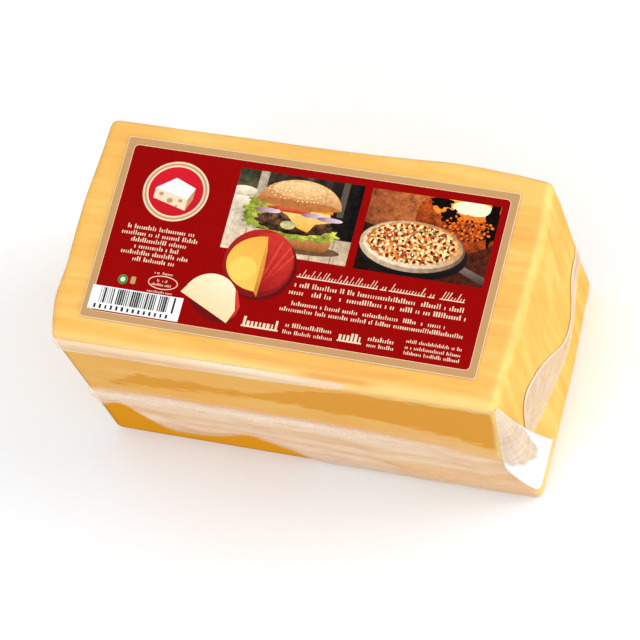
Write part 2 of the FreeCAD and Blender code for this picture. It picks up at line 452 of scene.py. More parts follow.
def cheese_material():
    """Smooth young cheese seen through film that lies tight on it, so it has the film's gloss."""
    chosen = settings().cheese
    material, tree, place = new_material("cheese")
    # Streaks along the length, and upright on the end: the lighter ones are a painted sheen of the film,
    # the darker ones the cheese's uneven tone.
    along = place.noise(190.0, 3.0, 0.55, (0.14, 1.0, 1.0))
    upright = place.noise(230.0, 3.0, 0.6, (1.0, 1.0, 0.1))
    streaks = flow(tree, "ShaderNodeMix", {0: attribute(tree, "at_end"), 2: along, 3: upright})
    dark = (1.0 - streaks).stepped(0.52, 0.7) * 0.5
    # The deeper colour goes on darker streaks of uneven tone, on painted shade over the front and under its
    # skirt, and on wet patches.
    shade = dark.most(attribute(tree, "deep")).most(wet_at(place))
    tint = (streaks.stepped(0.46, 0.64) * 0.85).blended(chosen.paste, chosen.pale)
    for mask, over in ((shade, chosen.deep), (attribute(tree, "amber"), chosen.amber),
                       (attribute(tree, "thin"), chosen.thin)):
        tint = mask.blended(tint, over)
    return finish(material, {
        "Base Color": tint, "Roughness": 0.45, "Specular IOR Level": 0.15, "Subsurface Weight": 0.1,
        "Subsurface Radius": (1.0, 0.5, 0.15), "Subsurface Scale": 0.003,
        "Coat Weight": attribute(tree, "dull") * -0.85 + 0.9, "Coat Roughness": 0.09},
        uneven(place, 42.0, 1100.0, 0.06)["Height"], distance=0.0005, strength=0.25)


def film_material(name, haze, tight_haze=0.0, flecks=0.0, creased=0.0):
    """Clear film. Haze and flecks are shares, and creased is the strength of its bump."""
    chosen = settings().film
    material, tree, place = new_material(name)
    film = grouped(tree, film_group(), {
        "Vector": place, "Haze": haze, "Tight Haze": tight_haze, "Flecks": flecks,
        "Loose": attribute(tree, "loose"), "Wet": wet_at(place), "Bright": attribute(tree, "bright"),
        "Milky": chosen.milky, "White": chosen.bright})
    inputs = {"Base Color": film["Color"], "Alpha": film["Alpha"], "Roughness": film["Roughness"]}
    return finish(material, inputs, film["Height"], distance=0.0007, strength=creased)


@made_once("materials", "film_edge")
def bead_material(name):
    """The welded edge of the film, near-white as a painted highlight along it."""
    material, _, place = new_material(name)
    skin = uneven(place, 240.0, 2200.0, 0.4)
    tint = skin["Patches"].blended((1.0, 0.90, 0.80, 1.0), (1.0, 0.99, 0.96, 1.0))
    alpha = skin["Patches"].stepped(0.2, 0.6, 0.55, 0.95)
    inputs = {"Base Color": tint, "Alpha": alpha, "Roughness": 0.25}
    return finish(material, inputs, skin["Height"], distance=0.0002, strength=0.4)


PAPER_GRAIN = 0.00004


def print_material(name, tint, roughness, specular, variation=0.12):
    """One flat ink of the label on its paper."""
    material, _, place = new_material(name)
    skin = uneven(place, 130.0, 2600.0, 0.5)
    darker = [channel * (1.0 - variation) for channel in tint[:3]] + [1.0]
    inputs = {"Base Color": skin["Height"].blended(tint, darker), "Roughness": roughness,
              "Specular IOR Level": specular}
    return finish(material, inputs, skin["Grain"], distance=PAPER_GRAIN, strength=0.3)


def picture_material():
    """The label's little pictures: each shape's own colours, made lighter and darker in small patches."""
    material, tree, place = new_material("label_picture")
    skin = uneven(place, 520.0, 1900.0, 0.6)
    change = (skin["Height"] - 0.8) * (attribute(tree, "mottle") * 2.6) + 1.0
    lit = attribute(tree, "ink", "Color") * xyz(tree, change, change, change)
    inputs = {"Base Color": lit, "Roughness": 0.4, "Specular IOR Level": 0.15}
    return finish(material, inputs, skin["Grain"], distance=PAPER_GRAIN, strength=0.3)


# ---------------------------------------------------------------- geometry node trees

def new_tree(name, inputs):
    """A geometry tree with its own inputs and the material that it gives its faces."""
    return new_group("GeometryNodeTree", name, {**inputs, "Material": "Material"}, {"Geometry": "Geometry"})


def finish_tree(tree, given, shape):
    """End a tree as they all end: with real faces in the given material."""
    real = flow(tree, "GeometryNodeRealizeInstances", {"Geometry": shape})
    done = flow(tree, "GeometryNodeSetMaterial", {"Geometry": real, "Material": given["Material"]})
    add(tree, "NodeGroupOutput", {"Geometry": done})
    return tree


def chance(seed, least, most):
    """A random number for each point."""
    return flow(seed.tree, "FunctionNodeRandomValue", {2: least, 3: most, "Seed": seed}, 1,
                data_type="FLOAT")


def copies(points, shape, scale, **inputs):
    """A copy of a shape on each point."""
    return flow(points.tree, "GeometryNodeInstanceOnPoints",
                {"Points": points, "Instance": shape, "Scale": scale, **inputs})


@made_once("node_groups", "Rounded block")
def block_tree(name):
    """A box of fine squares drawn in to rounded edges, with a shallow hand-made relief."""
    tree, given = new_tree(name, {
        "Length": 2 * HALF_LENGTH * MM, "Width": 2 * HALF_WIDTH * MM, "Height": HEIGHT * MM,
        "Edge Radius": 0.003, "End Radius": 0.003, "Corner Radius": 0.006, "Spacing": 0.001,
        "Relief": 0.0003, "Seed": 3.0})
    sides = [given[side] for side in ("Length", "Width", "Height")]
    size = xyz(tree, *sides)
    counts = {"Vertices " + axis: side / given["Spacing"] for axis, side in zip("XYZ", sides)}
    cube = flow(tree, "GeometryNodeMeshCube", {"Size": size, **counts})
    place = flow(tree, "GeometryNodeInputPosition")
    half = size.scaled(0.5)
    x, y, z = place.split()
    half_x, half_y, half_z = half.split()

    # The radius grows at the top edge of the sealed end, and lower down at its front corner.
    below_top = half_z - z
    near_end = (half_x - x).within(NEAR_SIDE, 1.0, 0.0)
    near_front = (half_y + y).within(NEAR_SIDE, 1.0, 0.0)
    near_top = below_top.within(NEAR_TOP, 1.0, 0.0)
    midway = below_top.within(BELOW_TOP) * z.within(FROM_MIDDLE)
    edge = given["Edge Radius"]
    top_more = (given["End Radius"] - edge) * (near_end * near_top)
    corner_more = (given["Corner Radius"] - edge) * (near_end * near_front * midway)
    radius = edge + (top_more + corner_more)
    core_half = half - xyz(tree, radius, radius, radius)
    core = place.least(core_half).most(core_half * (-1.0, -1.0, -1.0))
    outward = (place - core).unit()
    rounded = core + outward.scaled(radius)

    waves = flow(tree, "ShaderNodeTexNoise", {"Vector": rounded, "W": given["Seed"], "Scale": 38.0,
                                              "Detail": 2.0}, noise_dimensions="4D")
    relief = outward.scaled(waves * (given["Relief"] * -1.0))
    noted = flow(tree, "GeometryNodeStoreNamedAttribute",
                 {"Geometry": cube, "Name": "outward", "Value": outward}, data_type="FLOAT_VECTOR")
    shaped = flow(tree, "GeometryNodeSetPosition", {"Geometry": noted, "Position": rounded + relief})
    stood = flow(tree, "GeometryNodeTransform",
                 {"Geometry": shaped, "Translation": xyz(tree, z=given["Height"] * 0.5)})
    return finish_tree(tree, given, flow(tree, "GeometryNodeSetShadeSmooth", {"Geometry": stood}))


@made_once("node_groups", "Row of strokes")
def row_tree(name):
    """A row of strokes with random gaps and widths: small print, a joined title or bars.

    A share of the strokes has the row's full height and the rest a lower one, as letters do.
    """
    tree, given = new_tree(name, {
        "Length": 20.0, "Tall": 1.4, "Pitch": 0.8, "Gap Share": 0.15, "Full Share": 0.3,
        "Low Height": 0.62, "Least Width": 0.4, "Most Width": 0.75, "Slant": 0.0, "Join": 0.0, "Seed": 1})
    long, tall, pitch, low = (given[side] for side in ("Length", "Tall", "Pitch", "Low Height"))
    line = flow(tree, "GeometryNodeMeshLine",
                {"Count": long / pitch, "Start Location": xyz(tree, long * -0.5, tall * -0.5),
                 "Offset": xyz(tree, pitch)})
    kept = chance(given["Seed"], 0.0, 1.0).over(given["Gap Share"])
    full = chance(given["Seed"] + 1.0, 0.0, 1.0).under(given["Full Share"])
    width = chance(given["Seed"] + 2.0, given["Least Width"], given["Most Width"])
    height = full * (1.0 - low) + low
    square = flow(tree, "GeometryNodeMeshGrid",
                  {"Size X": 1.0, "Size Y": 1.0, "Vertices X": 2, "Vertices Y": 2})
    stroke = flow(tree, "GeometryNodeTransform", {"Geometry": square, "Translation": (0.0, 0.5, 0.0)})
    joins = copies(line, stroke, xyz(tree, pitch * 1.25, tall * given["Join"], 1.0), Selection=kept)
    strokes = copies(line, stroke, xyz(tree, width * pitch, height * tall, 1.0), Selection=kept,
                     Rotation=xyz(tree, z=given["Slant"] * -1.0))
    both = add(tree, "GeometryNodeJoinGeometry", {0: joins})
    feed(both, {0: strokes})
    return finish_tree(tree, given, Flow(both.outputs[0]))


@made_once("node_groups", "Scattered spots")
def scatter_tree(name):
    """Small oval spots scattered over an ellipse: seeds, toppings and flecks."""
    tree, given = new_tree(name, {
        "Reach X": 5.0, "Reach Y": 3.0, "Apart": 0.9, "Size": 0.4, "Stretch": 1.6, "Seed": 1})

    def disc(corners):
        return flow(tree, "GeometryNodeMeshCircle", {"Vertices": corners, "Radius": 1.0}, fill_type="NGON")

    spread = flow(tree, "GeometryNodeTransform",
                  {"Geometry": disc(24), "Scale": xyz(tree, given["Reach X"], given["Reach Y"], 1.0)})
    points = flow(tree, "GeometryNodeDistributePointsOnFaces",
                  {"Mesh": spread, "Distance Min": given["Apart"], "Density Max": 12.0,
                   "Seed": given["Seed"]}, distribute_method="POISSON")
    small = chance(given["Seed"], 0.6, 1.2) * given["Size"]
    turn = chance(given["Seed"] + 5.0, 0.0, math.tau)
    spots = copies(points, disc(7), xyz(tree, small * given["Stretch"], small, 1.0),
                   Rotation=xyz(tree, z=turn))
    return finish_tree(tree, given, spots)


@made_once("node_groups", "Bead along an edge")
def bead_tree(name):
    """A round bead that follows a line of edges, as the weld along the edge of film."""
    tree, given = new_tree(name, {"Geometry": "Geometry", "Radius": 0.0003, "Sides": 6})
    path = flow(tree, "GeometryNodeMeshToCurve", {"Mesh": given["Geometry"]})
    ring = flow(tree, "GeometryNodeCurvePrimitiveCircle",
                {"Radius": given["Radius"], "Resolution": given["Sides"]})
    tube = flow(tree, "GeometryNodeCurveToMesh", {"Curve": path, "Profile Curve": ring, "Fill Caps": True})
    return finish_tree(tree, given, flow(tree, "GeometryNodeSetShadeSmooth", {"Geometry": tube}))


# ---------------------------------------------------------------- mesh helpers

def bake(piece):
    """Keep the plain mesh that a piece's modifiers make, and drop them."""
    seen = piece.evaluated_get(bpy.context.evaluated_depsgraph_get())
    mesh = bpy.data.meshes.new_from_object(seen)
    piece.modifiers.clear()
    mesh.name = piece.name
    piece.data = mesh
    return piece


def run_tree(tree, piece, values):
    """Shape a piece by a tree, with values for the tree's inputs by name."""
    modifier = piece.modifiers.new("Shape", "NODES")
    modifier.node_group = tree
    for item in tree.interface.items_tree:
        if item.item_type == "SOCKET" and item.in_out == "INPUT" and item.name in values:
            modifier[item.identifier] = values[item.name]
    return bake(piece)


def new_piece(name, points=(), faces=(), edges=()):
    """A new object at the origin. Points are in metres."""
    mesh = bpy.data.meshes.new(name)
    mesh.from_pydata([tuple(point) for point in points], list(edges), list(faces))
    mesh.update()
    piece = bpy.data.objects.new(name, mesh)
    bpy.context.scene.collection.objects.link(piece)
    return piece


def read_vectors(items, field):
    flat = np.zeros(len(items) * 3)
    items.foreach_get(field, flat)
    return flat.reshape(-1, 3)


def note(piece, **values):
    """Write a number for every point under each name, for the finishes to read."""
    for name, numbers in values.items():
        made = piece.data.attributes.new(name, "FLOAT", "POINT")
        made.data.foreach_set("value", np.asarray(numbers, np.float32).ravel())


def sheet_piece(name, grid, material):
    """A sheet from a grid of points in mm."""
    rows, columns = grid.shape[:2]
    faces = [(r * columns + c, r * columns + c + 1, (r + 1) * columns + c + 1, (r + 1) * columns + c)
             for r in range(rows - 1) for c in range(columns - 1)]
    piece = new_piece(name, grid.reshape(-1, 3) * MM, faces)
    piece.data.materials.append(material)
    piece.data.shade_smooth()
    return piece


def thicken(piece, thickness):
    modifier = piece.modifiers.new("Wall", "SOLIDIFY")
    modifier.thickness = thickness
    modifier.offset = 1.0
    bake(piece)


def add_bead(piece, line):
    """Weld a bead along a line of points in mm onto a piece."""
    name = piece.name
    bead = new_piece(name + "_bead", line * MM, edges=[(i, i + 1) for i in range(len(line) - 1)])
    run_tree(bead_tree(), bead, {"Radius": settings().film.bead, "Sides": 7, "Material": bead_material()})
    with bpy.context.temp_override(active_object=piece, selected_editable_objects=[piece, bead],
                                   selected_objects=[piece, bead], object=piece):
        bpy.ops.object.join()
    piece.data.name = name


def keep(piece, slot, *nodes):
    """The calls that every finished piece gets."""
    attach(piece, BODY)
    if nodes:
        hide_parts(*nodes)


# ---------------------------------------------------------------- the block and its film

# Lines on the front, as height above the base by place along the length, in mm.
SKIRT_CREASE = ((-73, 38.8), (-64, 40.4), (-27, 41.4), (12, 42.3), (41, 40.4), (59, 36.5), (73, 31.5))
SKIRT_FOOT = ((-73, 22.8), (-63, 25.7), (-59, 17.9), (-54, 10.6), (-45, 8.2), (-37, 9.5), (-30, 12.4),
              (-22, 16.0), (-16, 11.9), (-8, 6.7), (-2, 0.8), (6, -8.0), (73, -12.0))
SKIRT_VALLEY = ((-73, 28.7), (-63, 26.7), (-52, 21.2), (-37, 19.6), (-17, 18.8), (2, 16.8), (12, 14.9),
                (39, 12.0), (73, 11.0))
BAND_FOOT = ((-73, 71.8), (-58, 71.7), (-39, 72.3), (-20, 73.4), (0, 74.4), (20, 76.3), (39, 77.5),
             (55, 77.7), (65, 77.1), (73, 77.1))
WET_TOP = ((-73, 44.3), (-65, 46.2), (-52, 57.5), (-27, 59.5), (-8, 60.5), (2, 66.0), (12, 71.5),
           (30, 74.5), (51, 75.8), (73, 77.0))
WET_FOOT = ((-73, 45.3), (-65, 46.2), (-37, 51.1), (-9, 55.0), (12, 53.1), (31, 52.1), (53, 48.2),
            (65, 43.3), (73, 40.4))

# How far the plain end, the sealed end's top and the back swell past the block's corners, in mm.
END_SWELL = ((-38.7, 0.9), (-34, 1.8), (-25, 3.3), (-13, 2.8), (0, 3.0), (10, 2.9), (20, 2.2), (38.7, 1.2))
END_TOP = ((-38.7, -0.4), (-26, 0.3), (0, 1.3), (23, 1.6), (38.7, 0.4))
BACK_SWELL = ((-73.5, 0.3), (-29, 0.7), (0, 1.0), (24, 1.7), (43, 2.5), (59, 1.8), (73.5, 0.8))

# The fold's two edges, by height: along the front, and across the sealed end, in mm.
FOLD_FRONT_EDGE = ((7.0, 73.4), (15.5, 70.1), (29.0, 66.6), (36.6, 67.2), (60.5, 70.5), (80.5, 72.6))
FOLD_END_EDGE = ((7.0, -20.0), (34.0, -27.6), (46.0, -30.5), (65.0, -34.9), (80.5, -37.4))


def facing(outward):
    """Share of a point that belongs to a side, from how far its outward line turns that way."""
    return ramp(outward, 0.35, 0.85)


def wet_front(x, z):
    """How far inside the front's wet patch."""
    return np.minimum(curve(x, WET_TOP) - z, z - curve(x, WET_FOOT))


def front_lift(x, z, crease, foot, band):
    """How far the front's film stands off: a skirt below the crease and a band under the top edge."""
    chosen = settings().film
    skirt = np.minimum(crease - z, (z - foot) * 0.8)
    sag = ripple(x + 0.6 * z, (0.12, 34.0, 3.0), (0.08, 17.0, 0.0))
    lift = ramp(skirt, 0.0, 4.5) * (chosen.skirt_lift / MM + sag) * ramp(z, -2.0, 9.0)
    lift += 0.55 * bell(z, crease - 0.9, 0.85) * ramp(x, -75, -66) * ramp(74 - x, 0, 22)
    lift -= 0.8 * bell(z, curve(x, SKIRT_VALLEY), 1.7) * ramp(skirt, 0.5, 3.0) * ramp(40 - x, 0, 25)
    lift += ramp(z - band, 0.0, 1.6) * ramp(HEIGHT - z, 0.0, 3.0) * chosen.band_lift / MM
    lift += 0.22 * bell(z, band + 0.4, 0.55)
    # Near the sealed end it lies flat under the fold.
    return lift * ramp(66.0 - x, -1.0, 8.0)


def front_haze(x, z, crease, foot, band):
    """How far inside the front's loose film, which starts softly at the crease.

    It thins out low down toward the sealed end.
    """
    skirt = np.minimum((crease + 0.8 - z) * 0.22, (z - foot) * 0.8)
    skirt = np.minimum(skirt, 0.62 - 0.27 * ramp(x, 5.0, 40.0) * ramp(26.0 - z, 0.0, 8.0))
    return np.maximum(skirt, np.minimum(z - band, 4.0) * ramp(30.0 - x, 0.0, 25.0) - 0.3)


def front_shine(x, z, crease, band):
    """Share of painted glare on the film: round the crease, in a dry patch over it, and along the band's
    edges.
    """
    soft = 0.34 * bell(z, crease - 4.5, 4.6) * ramp(x, -78, -60) * ramp(60 - x, 0, 40)
    line = 0.2 * bell(z, crease - 0.8, 1.0) * ramp(x, -74, -66) * ramp(64 - x, 0, 30)
    dry = 0.12 * ramp(x, 15.0, 40.0) * ramp(z - crease, -1.0, 1.0) * ramp(curve(x, WET_FOOT) - z, 0.0, 2.0)
    edge = 0.45 * bell(z, HEIGHT - 1.4, 0.6) * ramp(20.0 - x, 0.0, 30.0)
    return np.maximum.reduce([soft, line, dry, 0.5 * bell(z, band + 0.4, 0.5), edge])


def back_film(x, z):
    """The back's long soft crease with a loose band under it: how far inside the band, and its painted
    glare.
    """
    crease = 52.0 + ripple(x, (2.6, 120.0, 20.0), (0.8, 37.0, 0.0))
    foot = crease - 9.0 - ripple(x, (4.0, 95.0, 8.0), (1.5, 41.0, 3.0))
    low = 7.0 + ripple(x, (3.5, 80.0, 12.0), (1.2, 33.0, 0.0)) - z
    loose = np.minimum(np.maximum(np.minimum((crease - z) * 0.5, (z - foot) * 0.12), low * 0.12), 0.5)
    return loose, 0.4 * bell(z, crease - 0.6, 0.9)


def plain_end_film(y, z):
    """The plain end's film, loose at both lower corners: how far inside, and its painted glare."""
    side = 30.0 - 1.35 * (HALF_WIDTH - np.abs(y)) + ripple(y, (1.5, 26.0, 5.0)) - z
    return np.minimum(side * 0.15, 0.5), 0.4 * bell(side, 0.3, 0.9)


def end_shift(y, z):
    """How far the sealed end leans out from the block's corners, in mm."""
    high = z / HEIGHT
    low = 1.2 - 1.2 * ramp(y, 5.0, HALF_WIDTH)
    return low * ramp(0.6 - high, 0.0, 0.6) + curve(y, END_TOP) * ramp(high, 0.3, 1.0)


def swell(points):
    """Swell, sag and lean, as the soft block does, on points in mm."""
    x, y, z = points.T.copy()
    high = z / HEIGHT
    plain_end = ramp(-x, 20.0, HALF_LENGTH)
    sealed_end = ramp(x, 40.0, HALF_LENGTH)
    back = ramp(y, 0.0, HALF_WIDTH)
    front = ramp(-y, HALF_WIDTH - 7.5, HALF_WIDTH)
    points[:, 0] -= plain_end * curve(y, END_SWELL) * (0.3 + 0.7 * ramp(high, 0.0, 1.0))
    points[:, 0] += sealed_end * end_shift(y, z)
    points[:, 1] += back * curve(x, BACK_SWELL) * ramp(high, 0.0, 1.0)
    points[:, 2] -= 1.5 * front * ramp(-x, -10.0, HALF_LENGTH) * ramp(high, 0.5, 1.0)
    return points


def make_block(name, gap, material):
    """The rounded block by its tree, smaller all round by the gap: its points and their outward lines."""
    chosen = settings().cheese
    piece = run_tree(block_tree(), new_piece(name), {
        "Length": 2 * (HALF_LENGTH * MM - gap), "Width": 2 * (HALF_WIDTH * MM - gap),
        "Height": HEIGHT * MM - 2 * gap, "Edge Radius": chosen.edge_radius,
        "End Radius": chosen.end_radius, "Corner Radius": chosen.corner_radius,
        "Spacing": chosen.spacing, "Relief": chosen.relief, "Material": material})
    points = read_vectors(piece.data.vertices, "co") / MM
    points[:, 2] += gap / MM
    kept = piece.data.attributes["outward"]
    outward = read_vectors(kept.data, "vector")
    piece.data.attributes.remove(kept)
    return piece, swell(points), outward


def finish_block(piece, points):
    """Give a block's mesh its last points, in mm."""
    piece.data.vertices.foreach_set("co", (points * MM).ravel())
    piece.data.update()
    keep(piece, "film", "cheese_pack")


def make_cheese():
    """The cheese, with the share of each shade that its finish reads at every point."""
    piece, points, outward = make_block("cheese_block", settings().cheese.film_gap, cheese_material())
    x, y, z = points.T
    front = ramp(-outward[:, 1], 0.3, 0.9)
    up = ramp(outward[:, 2], 0.1, 0.9)
    # A wet streak along the top's front edge, where the film clings.
    streak = bell(y, -36.9, 1.1) * ramp(z, HEIGHT - 4.0, HEIGHT - 2.0)
    streak *= ramp(x, 4.0, 14.0) * ramp(38.0 - x, 0.0, 10.0)
    # Painted shade: the front a deeper orange below its top edge, and deeper still under the skirt's
    # valley.
    low = ramp(curve(x, SKIRT_VALLEY) + 1.0 - z, 0.0, 2.5) * ramp(50.0 - x, 0.0, 30.0)
    deep = front * np.maximum(0.35 * ramp(HEIGHT - z, 2.0, 10.0), 0.9 * low)
    # Painted highlights: a paler colour along the block's edges and a strip under the front's top edge.
    ridge = bell(outward[:, 0], 0.62, 0.38) * ramp(outward[:, 2], 0.2, 0.6)
    along_front = ramp(-y, HALF_WIDTH - 5.0, HALF_WIDTH - 1.0) * ramp(z, HEIGHT - 4.0, HEIGHT - 1.0)
    corner = 0.95 * front * bell(curve(z, FOLD_FRONT_EDGE) - x, 0.8, 0.9) * ramp(z, 28.0, 45.0)
    strip = 0.6 * front * ramp(z, HEIGHT - 7.5, HEIGHT - 4.0)
    foot = 0.6 * ramp(outward[:, 0], 0.6, 0.9) * bell(z, 3.0, 6.0) * ramp(-y, 10.0, 24.0)
    thin = np.maximum.reduce([0.2 * ridge, 0.6 * along_front, corner, strip, foot])
    at_end = ramp(np.abs(outward[:, 0]), 0.6, 0.9) * (1.0 - up)
    note(piece, deep=np.maximum(deep, streak), amber=front * ramp(curve(x, SKIRT_FOOT) - z, -0.5, 3.5),
         thin=thin * (1.0 - streak), wet=np.where(front > 0.5, wet_front(x, z), AWAY),
         at_end=at_end, dull=np.maximum(at_end, 0.85 * ridge))
    finish_block(piece, points)


def make_film():
    """The bag: tight on the block, apart from the front, where it stands off."""
    chosen = settings().film
    material = film_material("film", chosen.haze, chosen.tight_haze, flecks=0.6, creased=0.45)
    piece, points, outward = make_block("film_bag", 0.0, material)
    x, y, z = points.T
    front, back, end = facing(-outward[:, 1]), facing(outward[:, 1]), facing(-outward[:, 0])
    crease = curve(x, SKIRT_CREASE) + ripple(x, (0.25, 23.0, 4.0), (0.12, 9.0, 1.0))
    foot = curve(x, SKIRT_FOOT)
    band = curve(x, BAND_FOOT) + ripple(x, (0.2, 31.0, 0.0))
    sides = ((front, front_haze(x, z, crease, foot, band), front_shine(x, z, crease, band)),
             (back, *back_film(x, z)), (end, *plain_end_film(y, z)))
    # Each side's loose film, wet patch and painted glare, for the finish to read.
    note(piece, loose=np.maximum.reduce([np.where(side > 0.5, loose, AWAY) for side, loose, _ in sides]),
         wet=np.where(front > 0.5, np.maximum(wet_front(x, z), foot - z), AWAY),
         bright=sum(side * shine for side, _, shine in sides))
    lift = front * np.clip(front_lift(x, z, crease, foot, band), 0.0, FRONT_ROOM - 0.05)
    finish_block(piece, points + outward * lift[:, None])


# ---------------------------------------------------------------- the seal fin and the corner fold

# Lines of the fin on the sealed end, as height by place across the width, in mm.
FIN_FREE = ((-29.5, 42.0), (-26.3, 50.0), (-21.8, 52.7), (-15.5, 49.3), (-9.4, 44.0), (-4.1, 37.9),
            (1.8, 30.2), (6.1, 24.6), (10.1, 21.6), (14.9, 20.2), (18.7, 21.5), (22.3, 24.6),
            (26.4, 30.6), (30.0, 32.6), (34.0, 33.0), (38.5, 36.5))
FIN_SEAM = ((-29.5, 34.0), (-20.6, 27.0), (-12.1, 22.5), (-3.5, 18.5), (3.0, 15.9), (10.7, 14.0),
            (15.6, 14.6), (22.3, 17.0), (27.3, 20.6), (31.7, 22.6), (38.5, 22.4))


def make_fin():
    """The seal of the bag, laid back against the end, with its welded free edge."""
    thickness = settings().film.thickness
    across = np.linspace(FIN_FREE[0][0], HALF_WIDTH - 0.6, 110)
    up = np.linspace(0.0, 1.0, 12)[:, None]
    free, seam = curve(across, FIN_FREE), curve(across, FIN_SEAM)
    radius = settings().cheese.edge_radius / MM
    past = np.clip(across - (HALF_WIDTH - radius), 0.0, radius)
    bend = radius - np.sqrt(radius ** 2 - past ** 2)
    height = seam + (free - seam) * up
    face = HALF_LENGTH + end_shift(across, height) - bend
    # It stands a little off the end, more toward its free edge, in slight waves.
    wave = ripple(across, (0.22, 14.0, 2.0), (0.12, 5.3, 0.0)) * up ** 2
    away = 0.05 + 0.1 * up ** 1.5 + 0.15 * wave
    grid = np.stack([face + away, across + 0.0 * up, height], 2)
    piece = sheet_piece("seal_fin", grid, film_material("film_fin", haze=0.38, flecks=0.2, creased=0.2))
    spread = up + np.zeros_like(across)
    # Loose film over the whole fin, with a painted glare along its free edge.
    note(piece, loose=0.2 * (free - seam) * spread, wet=np.full(spread.size, AWAY),
         bright=0.5 * ramp(spread, 0.93, 1.0))
    thicken(piece, thickness)
    add_bead(piece, grid[-1] + np.array((thickness / MM / 2, 0.0, 0.0)))
    keep(piece, "film")


def corner_rounding(level):
    """Radius of the block's front corner at the sealed end, by height, as its tree makes it."""
    cheese = settings().cheese
    edge, end, corner = (radius / MM for radius in
                         (cheese.edge_radius, cheese.end_radius, cheese.corner_radius))
    below = HEIGHT - level
    return (edge + (end - edge) * (1.0 - ramp(below, *NEAR_TOP))
            + (corner - edge) * ramp(below, *BELOW_TOP) * ramp(level - HEIGHT / 2, *FROM_MIDDLE))


def fold_grid(level, across, away):
    """Points that go round the block's rounded corner, from the fold's one edge to its other."""
    radius = corner_rounding(level)
    turn = radius * math.pi / 2
    flat = HALF_LENGTH - radius
    begin = curve(level, FOLD_FRONT_EDGE) - flat
    begin = np.where(begin > 0.0, radius * np.arcsin(np.clip(begin / radius, 0.0, 1.0)), begin)
    end = curve(level, FOLD_END_EDGE) + HALF_WIDTH - radius
    end = turn + np.where(end < 0.0, radius * np.arcsin(np.clip(end / radius, -1.0, 0.0)), end)
    walked = begin + (end - begin) * across
    angle = np.clip(walked / radius, 0.0, math.pi / 2)
    x = flat + np.minimum(walked, 0.0) + (radius + away) * np.sin(angle)
    y = radius - HALF_WIDTH + np.maximum(walked - turn, 0.0) - (radius + away) * np.cos(angle)
    z = level + np.zeros_like(across)
    return np.stack([x + end_shift(y, z), y, z], 2)


def make_fold():
    """The spare film drawn over the front corner of the sealed end, from the front to the end face."""
    tall = np.linspace(79.4, 8.5, 66)[:, None]
    wide = np.linspace(0.0, 1.0, 41)[None, :]
    grid = fold_grid(tall, wide, away=0.35)
    material = film_material("film_fold", haze=0.46, creased=0.08)
    piece = sheet_piece("corner_fold", grid, material)
    # Painted glare: white below a lobed line, in faint pleats above it, and along its rim.
    lobes = (31.0 - 9.0 * bell(wide, 0.62, 0.22) + 12.0 * ramp(wide, 0.72, 1.0)
             + 1.2 * np.sin(wide * 13.0 + 0.8) + 0.8 * np.sin(wide * 31.0))
    white = ramp(lobes - tall, -2.5, 2.0)
    pleats = 0.07 + 0.05 * np.sin(wide * 31.0 + 0.5) + 0.04 * np.sin(wide * 53.0)
    rim = 0.8 * bell(wide, 1.0, 0.05)
    note(piece, loose=np.full(white.size, 3.0), wet=np.full(white.size, AWAY),
         bright=np.maximum(pleats + (0.97 - pleats) * white, rim))
    thicken(piece, settings().film.thickness)
    add_bead(piece, grid[:, -1])
    keep(piece, "film")


# ---------------------------------------------------------------- outlines of the print, in mm

def box(x, y, wide, tall):
    return [(x + sx * wide / 2, y + sy * tall / 2) for sx, sy in ((-1, -1), (1, -1), (1, 1), (-1, 1))]


def oval(x, y, reach_x, reach_y, start=0.0, sweep=360.0, steps=30, turn=0.0):
    """An oval, or the part of it that a sweep in degrees covers."""
    count = steps if sweep >= 360.0 else steps + 1
    angles = [math.radians(start + sweep * i / steps) for i in range(count)]
    cos, sin = math.cos(math.radians(turn)), math.sin(math.radians(turn))
    local = [(reach_x * math.cos(a), reach_y * math.sin(a)) for a in angles]
    return [(x + cos * u - sin * v, y + sin * u + cos * v) for u, v in local]


def rounded_box(x, y, wide, tall, radius, steps=4):
    points = []
    for index, (sx, sy) in enumerate(((1, 1), (-1, 1), (-1, -1), (1, -1))):
        for step in range(steps + 1):
            angle = math.radians(90.0 * index + 90.0 * step / steps)
            points.append((x + sx * (wide / 2 - radius) + radius * math.cos(angle),
                           y + sy * (tall / 2 - radius) + radius * math.sin(angle)))
    return points


def frilled(x, y, reach_x, reach_y, frills, depth, shift=0.0):
    """An oval with a wavy rim, as a leaf has."""
    points = []
    for step in range(frills * 5):
        angle = math.tau * step / (frills * 5)
        wave = math.sin(frills * angle + shift) + 0.4 * math.sin(2.3 * frills * angle)
        reach = 1.0 + depth * wave
        points.append((x + reach_x * reach * math.cos(angle), y + reach_y * reach * math.sin(angle)))
    return points


def signed_area(outline):
    """Area of an outline, over zero if it runs anticlockwise."""
    return sum(a[0] * b[1] - b[0] * a[1] for a, b in zip(outline, outline[1:] + outline[:1])) / 2.0


def drawn(tree, values, x, y):
    """The outlines that a tree makes, moved to a place on the label."""
    piece = run_tree(tree, new_piece("outlines"), values)
    mesh = piece.data
    outlines = [[(mesh.vertices[i].co.x + x, mesh.vertices[i].co.y + y) for i in face.vertices]
                for face in mesh.polygons]
    bpy.data.objects.remove(piece)
    bpy.data.meshes.remove(mesh)
    return outlines


class Ink:
    """One colour of the print: from low to high along an angle, and how mottled it is."""

    def __init__(self, low, high=None, angle=90.0, mottle=0.25, finish="label_picture"):
        self.low = display(*low)
        self.high = display(*(high or low))
        self.along = (math.cos(math.radians(angle)), math.sin(math.radians(angle)))
        self.mottle = mottle
        self.finish = finish

    def at(self, point, outline):
        """The colour at a point of a shape, by its place between the shape's two sides."""
        here, *spots = (x * self.along[0] + y * self.along[1] for x, y in [point, *outline])
        level = min(max((here - min(spots)) / max(max(spots) - min(spots), 1e-6), 0.0), 1.0)
        return [a + (b - a) * level for a, b in zip(self.low, self.high)]


